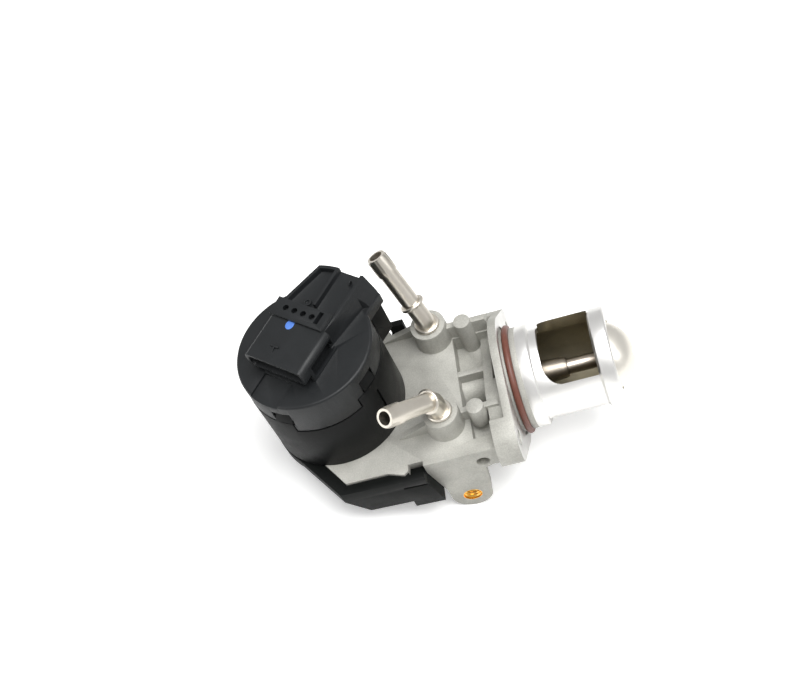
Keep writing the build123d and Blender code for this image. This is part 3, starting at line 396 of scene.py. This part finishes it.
for node, obj in nodes.items():
    obj.data.materials.clear()
    obj.data.materials.append(finishes.get(node, innerSteel))

dressed = {}
for node, width in bevelWidths.items():
    dressed[node] = dressedCopy(node, width)
print("main solids dressed:", len(dressed))


# finer forms cut into the dressed copies

poleLook = {"end": 54.0, "nose": 0.8, "recess": 1.3}  # mm: stem's end, length of its nose, depth in the dome
boreLook = {"turned": -0.3}  # how far a face looks at the valve's axis before it counts as the bore


def sinkStemEnd(copy):
    # the stem's end lies below the dome's pole, in its own weld recess
    look = poleLook
    selectOnly(copy)
    pickFaces(copy, lambda middle, normal: middle.x > (look["end"] - look["nose"]) * mm)
    bpy.ops.transform.translate(value=(-look["recess"] * mm, 0, 0))
    bpy.ops.object.mode_set(mode="OBJECT")


def paintBoreShade(copy):
    # painted shade: the sleeve's bore faces get a darker colour that stands in for the shade inside the bore
    copy.data.materials.append(boreShadeSteel)
    for face in copy.data.polygons:
        across = Vector((0, face.center.y, face.center.z)).normalized()
        if across.dot(face.normal) < boreLook["turned"]:
            face.material_index = 1


def cutAway(copy, tool):
    # takes the tool's shape out of the copy
    applyModifier(copy, "BOOLEAN", operation="DIFFERENCE", solver="EXACT", object=tool)
    bpy.data.objects.remove(tool)


sinkStemEnd(dressed["valve_stem"])
paintBoreShade(dressed["seat_sleeve"])
print("stem end and bore finished")


# faced-off areas of the casting

millLook = {"flange": 0.0, "slack": 0.06, "turned": 0.95}  # mm: place of the face; how far it looks along +X


def faceOffFlange(copy):
    copy.data.materials.append(milledAluminium)
    for face in copy.data.polygons:
        level = abs(face.center.x / mm - millLook["flange"]) < millLook["slack"]
        if level and face.normal.x > millLook["turned"]:
            face.material_index = 1


faceOffFlange(dressed["valve_housing"])
print("flange faced off")


# coolant pipes: the rolled beads are rounder than the tube's ends

pipePlaces = {  # mm and degrees: foot, height of the bend, tilt and turn of the free leg
    "back_pipe": {"x": -29.5, "y": 22.1, "bend": 28.5, "tilt": 28.5, "turn": 125.8},
    "front_pipe": {"x": -29.5, "y": -23.8, "bend": 35.8, "tilt": 48.9, "turn": 225.0},
}
# mm, but square, which is how much of an edge may run along its bead's axis
beadLook = {"height": 38.0, "foot": 26.9, "round": 0.8, "rim": 5.3, "near": 6.0, "square": 0.3}
# mm: swell is how much wider the tube is, by depth inside the mouth
hoseEndLook = {"leg": 28.0, "outer": 3.8, "band": 0.3, "round": 0.3,
               "swell": {1.25: 0.34, 2.5: 0.36, 3.75: 0.29, 5.0: 0.21, 6.25: 0.12, 7.5: 0.04}}


def pickRing(copy, mouth, way, depth):
    # in edit mode: the outer ring of the tube's end that lies this far (mm) inside the mouth
    selectOnly(copy)
    bpy.ops.object.mode_set(mode="EDIT")
    bpy.ops.mesh.select_mode(type="VERT")
    bpy.ops.mesh.select_all(action="DESELECT")
    bpy.ops.object.mode_set(mode="OBJECT")
    for vertex in copy.data.vertices:
        along = (mouth - vertex.co).dot(way) / mm
        across = (vertex.co - mouth).cross(way).length / mm
        vertex.select = abs(along - depth) < hoseEndLook["band"] and across > hoseEndLook["outer"]
    bpy.ops.object.mode_set(mode="EDIT")


def swellHoseEnd(copy, mouth, way):
    # makes the barb full towards the mouth, ring by ring
    for depth, swell in hoseEndLook["swell"].items():
        pickRing(copy, mouth, way, depth)
        bpy.ops.transform.shrink_fatten(value=swell * mm)
        bpy.ops.object.mode_set(mode="OBJECT")


def onBeadRim(ends, centre, axis):
    # true for an edge that runs round the rim of a bead
    out = (ends[0] + ends[1]) / 2 - centre
    along = (ends[0] - ends[1]).normalized().dot(axis)
    near = out.length < beadLook["near"] * mm
    return near and out.cross(axis).length > beadLook["rim"] * mm and abs(along) < beadLook["square"]


def rollBeads(copy, beads):
    weights = copy.data.attributes.new("bevel_weight_edge", "FLOAT", "EDGE")
    for edge in copy.data.edges:
        ends = [copy.data.vertices[i].co for i in edge.vertices]
        if any(onBeadRim(ends, centre, axis) for centre, axis in beads):
            weights.data[edge.index].value = 1.0
    applyModifier(copy, "BEVEL", width=beadLook["round"] * mm, segments=4, limit_method="WEIGHT",
                  use_clamp_overlap=True)


def dressPipe(node, place):
    tilt, turn = math.radians(place["tilt"]), math.radians(place["turn"])
    way = Vector((math.sin(tilt) * math.cos(turn), math.sin(tilt) * math.sin(turn), math.cos(tilt)))
    corner = Vector((place["x"], place["y"], place["bend"])) * mm
    bead = corner + way * ((beadLook["height"] - place["bend"]) * mm / way.z)
    foot = Vector((place["x"], place["y"], beadLook["foot"])) * mm
    copy = joinedCopy(node)
    swellHoseEnd(copy, bead + way * (hoseEndLook["leg"] * mm), way)
    rollBeads(copy, ((bead, way), (foot, Vector((0, 0, 1)))))
    roundEdges(copy, hoseEndLook["round"])
    dressNode(copy, node)
    applyModifier(copy, "WEIGHTED_NORMAL", keep_sharp=True)


for node, place in pipePlaces.items():
    dressPipe(node, place)
print("pipes dressed")


# brass insert: a thin sleeve with an internal thread

# mm, but plain and steps, which go by the turn, and start and flank, which are shares of the pitch
insertLook = {"x": -28.6, "y": -41.0, "z": -17.6, "outer": 4.2, "root": 3.95, "crest": 3.32, "pitch": 1.25,
              "depth": 7.0, "sunk": 0.02, "plain": 0.8, "start": 0.9, "flank": 0.92, "steps": 40}


def makeThreadedInsert():
    look = insertLook
    deselectAll()
    bpy.ops.mesh.primitive_cylinder_add(vertices=64, radius=look["outer"] * mm, depth=look["depth"] * mm,
                                        location=(0, 0, look["depth"] / 2 * mm))
    bpy.ops.object.transform_apply(location=True)
    sleeve = bpy.context.object
    pickFaces(sleeve, lambda middle, normal: abs(normal.z) > facing)
    bpy.ops.mesh.inset(thickness=(look["outer"] - look["root"]) * mm)
    bpy.ops.mesh.bridge_edge_loops()
    bpy.ops.mesh.select_all(action="SELECT")
    bpy.ops.mesh.normals_make_consistent(inside=False)
    bpy.ops.object.mode_set(mode="OBJECT")

    turns = look["depth"] / look["pitch"] - look["plain"]
    deselectAll()
    bpy.ops.mesh.primitive_circle_add(vertices=4, radius=0.5 * look["pitch"] * mm, fill_type="NOTHING",
                                      location=(0, 0, 0), rotation=(math.pi / 2, 0, 0))
    bpy.ops.object.transform_apply(location=True, rotation=True)
    ridge = bpy.context.object
    bpy.ops.object.mode_set(mode="EDIT")
    bpy.ops.mesh.select_all(action="SELECT")
    bpy.ops.transform.resize(value=((look["root"] - look["crest"]) * 2 / look["pitch"], 1, look["flank"]))
    bpy.ops.transform.translate(value=((look["root"] + look["sunk"]) * mm, 0,
                                       look["start"] * look["pitch"] * mm))
    bpy.ops.object.mode_set(mode="OBJECT")
    applyModifier(ridge, "SCREW", angle=math.tau * turns, screw_offset=look["pitch"] * turns * mm, axis="Z",
                  steps=int(look["steps"] * turns), render_steps=int(look["steps"] * turns),
                  use_smooth_shade=True, use_normal_calculate=True)
    deselectAll()
    sleeve.select_set(True)
    ridge.select_set(True)
    bpy.context.view_layer.objects.active = sleeve
    bpy.ops.object.join()
    turn = Matrix.Rotation(math.radians(-90), 3, "X")
    place = Vector((look["x"], look["y"], look["z"])) * mm
    settle(sleeve, "threadedInsertBush", place, turn, insertBrass, "base")
    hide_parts("thread_insert")


makeThreadedInsert()
print("threaded insert made")


# small moulded and painted details of the plug tower and the motor's housing

towerLook = {"axis": -75.7, "angle": 52.3}  # mm, degrees


def towerPlace(back, right, height):
    # the tower's own frame: back from the plug's mouth, right of its middle, above the valve's axis (mm)
    turn = math.radians(towerLook["angle"])
    return Vector((towerLook["axis"] + back * math.cos(turn) + right * math.sin(turn),
                   back * math.sin(turn) - right * math.cos(turn), height)) * mm


towerTurn = Matrix.Rotation(math.radians(towerLook["angle"]), 3, "Z")
paintLook = {"back": 2.1, "right": -3.3, "height": 75.0, "length": 4.6, "width": 3.8, "thick": 0.08,
             "ragged": 0.07, "rim": 0.12, "swell": 0.03}  # mm


def makePaintDot():
    # a dab of marking paint with a slightly ragged edge
    look = paintLook
    deselectAll()
    bpy.ops.mesh.primitive_circle_add(vertices=40, radius=0.5 * look["length"] * mm, fill_type="NGON")
    dot = bpy.context.object
    bpy.ops.object.mode_set(mode="EDIT")
    bpy.ops.mesh.select_all(action="SELECT")
    bpy.ops.transform.resize(value=(1, look["width"] / look["length"], 1))
    bpy.ops.transform.vertex_random(offset=look["ragged"] * mm, uniform=0.0, normal=0.0, seed=3)
    bpy.ops.transform.resize(value=(1, 1, 0))
    bpy.ops.mesh.extrude_region_move(TRANSFORM_OT_translate={"value": (0, 0, look["thick"] * mm)})
    bpy.ops.mesh.inset(thickness=look["rim"] * mm, depth=look["swell"] * mm)
    bpy.ops.object.mode_set(mode="OBJECT")
    settle(dot, "bluePaintDot", towerPlace(look["back"], look["right"], look["height"]), towerTurn, bluePaint,
           "base", angle=60)


# mm: web is the web's length and rib its half width; taper is its tip's width and height in shares
keyLook = {"back": -9.5, "right": -3.3, "height": 74.95, "span": 3.8, "thick": 0.7, "rise": 0.9,
           "web": 2.4, "rib": 0.35, "taper": (0.8, 0.15)}


def makePlugKey():
    # moulded catch for the plug: a short cross bar with a sloping web in front
    look = keyLook
    deselectAll()
    bpy.ops.mesh.primitive_cube_add(size=1, location=(0, 0, look["rise"] / 2 * mm))
    key = bpy.context.object
    key.scale = (look["thick"] * mm, look["span"] * mm, look["rise"] * mm)
    bpy.ops.object.transform_apply(location=True, scale=True)
    bpy.ops.object.mode_set(mode="EDIT")
    bpy.ops.mesh.bisect(plane_co=(0, look["rib"] * mm, 0), plane_no=(0, 1, 0))
    bpy.ops.mesh.select_all(action="SELECT")
    bpy.ops.mesh.bisect(plane_co=(0, -look["rib"] * mm, 0), plane_no=(0, 1, 0))
    pickFaces(key, lambda middle, normal: normal.x < -facing and abs(middle.y) < look["rib"] * mm)
    bpy.ops.mesh.extrude_region_move(TRANSFORM_OT_translate={"value": (-look["web"] * mm, 0, 0)})
    bpy.ops.transform.resize(value=(1, *look["taper"]), center_override=(-look["web"] * mm, 0, 0))
    bpy.ops.object.mode_set(mode="OBJECT")
    settle(key, "plugCatchKey", towerPlace(look["back"], look["right"], look["height"]), towerTurn, capNylon,
           "base", bevel=0.1)


# mm: the bore's depth is a share of the rise, and its floor a share of its mouth
ringLook = {"back": 15.9, "right": -4.7, "height": 70.95, "outer": 1.75, "inner": 1.05, "rise": 0.9,
            "bore": 0.85, "draft": 0.9}


def makeTowerRing():
    # raised eye on the tower's floor
    look = ringLook
    deselectAll()
    bpy.ops.mesh.primitive_cylinder_add(vertices=40, radius=look["outer"] * mm, depth=look["rise"] * mm,
                                        location=(0, 0, look["rise"] / 2 * mm))
    bpy.ops.object.transform_apply(location=True)
    eye = bpy.context.object
    pickFaces(eye, lambda middle, normal: normal.z > facing)
    bpy.ops.mesh.inset(thickness=(look["outer"] - look["inner"]) * mm)
    sink = (0, 0, -look["bore"] * look["rise"] * mm)
    bpy.ops.mesh.extrude_region_move(TRANSFORM_OT_translate={"value": sink})
    bpy.ops.transform.resize(value=(look["draft"], look["draft"], 1))
    bpy.ops.object.mode_set(mode="OBJECT")
    settle(eye, "towerEye", towerPlace(look["back"], look["right"], look["height"]), towerTurn, capNylon,
           "base", bevel=0.1)


# mm: slope and draft are the shares by which the block's front is lower and as wide
stepLook = {"back": 17.1, "right": 11.2, "height": 70.95, "length": 5.0, "width": 2.2, "rise": 1.3,
            "slope": 0.1, "draft": 0.9}
finLook = {"back": 30.6, "right": 8.1, "height": 70.95, "length": 2.3, "width": 0.6, "rise": 1.6,
           "slope": 0.8, "draft": 0.9}


def makeTowerBlock(name, look):
    # a small moulded block on the tower's floor, lower and narrower at its front
    deselectAll()
    bpy.ops.mesh.primitive_cube_add(size=1, location=(0, 0, look["rise"] / 2 * mm))
    bump = bpy.context.object
    bump.scale = (look["length"] * mm, look["width"] * mm, look["rise"] * mm)
    bpy.ops.object.transform_apply(location=True, scale=True)
    bpy.ops.object.mode_set(mode="EDIT")
    bpy.ops.mesh.select_all(action="SELECT")
    bpy.ops.mesh.subdivide(number_cuts=1)
    pickFaces(bump, lambda middle, normal: normal.x < -facing)
    bpy.ops.transform.resize(value=(1, look["draft"], 1 - look["slope"]), center_override=(0, 0, 0))
    bpy.ops.object.mode_set(mode="OBJECT")
    settle(bump, name, towerPlace(look["back"], look["right"], look["height"]), towerTurn, capNylon, "base",
           bevel=0.12)


stripLook = {"holes": (4.7, 0.15, -4.4, -8.9), "back": 8.2, "top": 76.4, "radius": 1.35, "depth": 2.4}  # mm
slotLook = {"turn": -35, "radius": 30.2, "width": 1.3, "depth": 1.0, "low": 30.0, "high": 44.0}  # mm, degrees


def openStripHoles():
    # four test holes on the strip behind the plug, opened to their full width
    look = stripLook
    for right in look["holes"]:
        deselectAll()
        bpy.ops.mesh.primitive_cylinder_add(vertices=32, radius=look["radius"] * mm,
                                            depth=2 * look["depth"] * mm,
                                            location=towerPlace(look["back"], right, look["top"]))
        cutAway(dressed["motor_cap"], bpy.context.object)


def cutShellSlot():
    # a narrow upright slot in the motor's housing
    look = slotLook
    turn = math.radians(look["turn"])
    middle = Matrix.Rotation(turn, 3, "Z") @ Vector((look["radius"], 0, (look["low"] + look["high"]) / 2))
    middle += Vector((towerLook["axis"], 0, 0))
    deselectAll()
    bpy.ops.mesh.primitive_cube_add(size=1, location=middle * mm, rotation=(0, 0, turn),
                                    scale=(2 * look["depth"] * mm, look["width"] * mm,
                                           (look["high"] - look["low"]) * mm))
    cutAway(dressed["motor_shell"], bpy.context.object)


openStripHoles()
cutShellSlot()
makePaintDot()
makePlugKey()
makeTowerRing()
makeTowerBlock("towerStep", stepLook)
makeTowerBlock("towerFin", finLook)
print("tower details made")

# floor, light and camera

# size in m; tilt is the floor's upward way; lift is the glow that takes the paper to white
stageLook = {"floor": "#f4f4f3", "lift": 0.34, "tilt": (0.297, 0.072, 0.952), "size": 6.0}


def makeFloor():
    look = stageLook
    up = Vector(look["tilt"]).normalized()
    lowest = min(up.dot(v.co) for obj in nodes.values() for v in obj.data.vertices)
    deselectAll()
    bpy.ops.mesh.primitive_plane_add(size=look["size"])
    floor = bpy.context.object
    floor.name = "studioFloor"
    floor.matrix_world = Matrix.Translation(up * lowest) @ up.to_track_quat("Z", "Y").to_matrix().to_4x4()
    paper = bpy.data.materials.new("matPaperSweep")
    paper.use_nodes = True
    tree = paper.node_tree
    tree.nodes.clear()
    path = addNode(tree, "LightPath")
    matte = addNode(tree, "BsdfDiffuse", values={"Color": look["floor"]})
    lift = addNode(tree, "Math", {"operation": "MULTIPLY"}, {1: look["lift"]},
                   {0: path.outputs["Is Camera Ray"]})
    glow = addNode(tree, "Emission", values={"Color": "#ffffff"}, links={"Strength": lift.outputs[0]})
    both = addNode(tree, "AddShader", links={0: matte.outputs[0], 1: glow.outputs[0]})
    addNode(tree, "OutputMaterial", links={"Surface": both.outputs[0]})
    floor.data.materials.append(paper)


# how bright the white room is as light, in a mirrored ray and to the camera
roomLook = {"light": 0.38, "mirrored": 0.62, "seen": 1.0}


def makeRoom():
    world = bpy.data.worlds.new("whiteStudio")
    bpy.context.scene.world = world
    world.use_nodes = True
    tree = world.node_tree
    tree.nodes.clear()
    path = addNode(tree, "LightPath")
    seen = addNode(tree, "Math", {"operation": "MAXIMUM"},
                   links={0: path.outputs["Is Camera Ray"], 1: path.outputs["Is Transmission Ray"]})
    room = addNode(tree, "Background", values={"Color": "#ffffff", "Strength": roomLook["light"]})
    gloss = addNode(tree, "Background", values={"Color": "#ffffff", "Strength": roomLook["mirrored"]})
    white = addNode(tree, "Background", values={"Color": "#ffffff", "Strength": roomLook["seen"]})
    lit = addNode(tree, "MixShader",
                  links={0: path.outputs["Is Glossy Ray"], 1: room.outputs[0], 2: gloss.outputs[0]})
    pick = addNode(tree, "MixShader", links={0: seen.outputs[0], 1: lit.outputs[0], 2: white.outputs[0]})
    addNode(tree, "OutputWorld", links={"Surface": pick.outputs[0]})


lampLook = {  # place (m), width, height (m), watts
    "topSoftbox": {"place": (0.35, -0.15, 1.1), "width": 0.9, "height": 0.9, "watts": 17.0},
    "leftSoftbox": {"place": (-0.9, -0.25, 0.65), "width": 0.4, "height": 0.8, "watts": 2.5},
    "rightSoftbox": {"place": (0.95, -0.35, 0.6), "width": 0.4, "height": 0.8, "watts": 2.5},
}


lampAim = (-0.03, 0, 0.01)  # m


def makeLamp(name, look):
    deselectAll()
    bpy.ops.object.light_add(type="AREA", location=look["place"])
    lamp = bpy.context.object
    lamp.name = name
    lamp.data.shape = "RECTANGLE"
    lamp.data.size, lamp.data.size_y, lamp.data.energy = look["width"], look["height"], look["watts"]
    lamp.rotation_euler = (Vector(lampAim) - lamp.location).to_track_quat("-Z", "Y").to_euler()


cameraLook = {"place": (82.13, -393.30, 582.72), "right": (0.9517, -0.1030, -0.2892),
              "up": (0.2503, 0.8059, 0.5365), "lens": 72.17, "sensor": 36, "near": 10.0}  # mm


def makeCamera():
    look = cameraLook
    deselectAll()
    bpy.ops.object.camera_add()
    camera = bpy.context.object
    rightWay = Vector(look["right"]).normalized()
    back = rightWay.cross(Vector(look["up"])).normalized()
    turn = Matrix((rightWay, back.cross(rightWay), back)).transposed()
    camera.matrix_world = Matrix.Translation(Vector(look["place"]) * mm) @ turn.to_4x4()
    camera.data.lens = look["lens"]
    camera.data.sensor_width = look["sensor"]
    camera.data.clip_start = look["near"] * mm
    bpy.context.scene.camera = camera


makeFloor()
makeRoom()
for name, look in lampLook.items():
    makeLamp(name, look)
makeCamera()
bpy.context.scene.view_settings.view_transform = "Standard"
print("stage, lamps and camera placed")
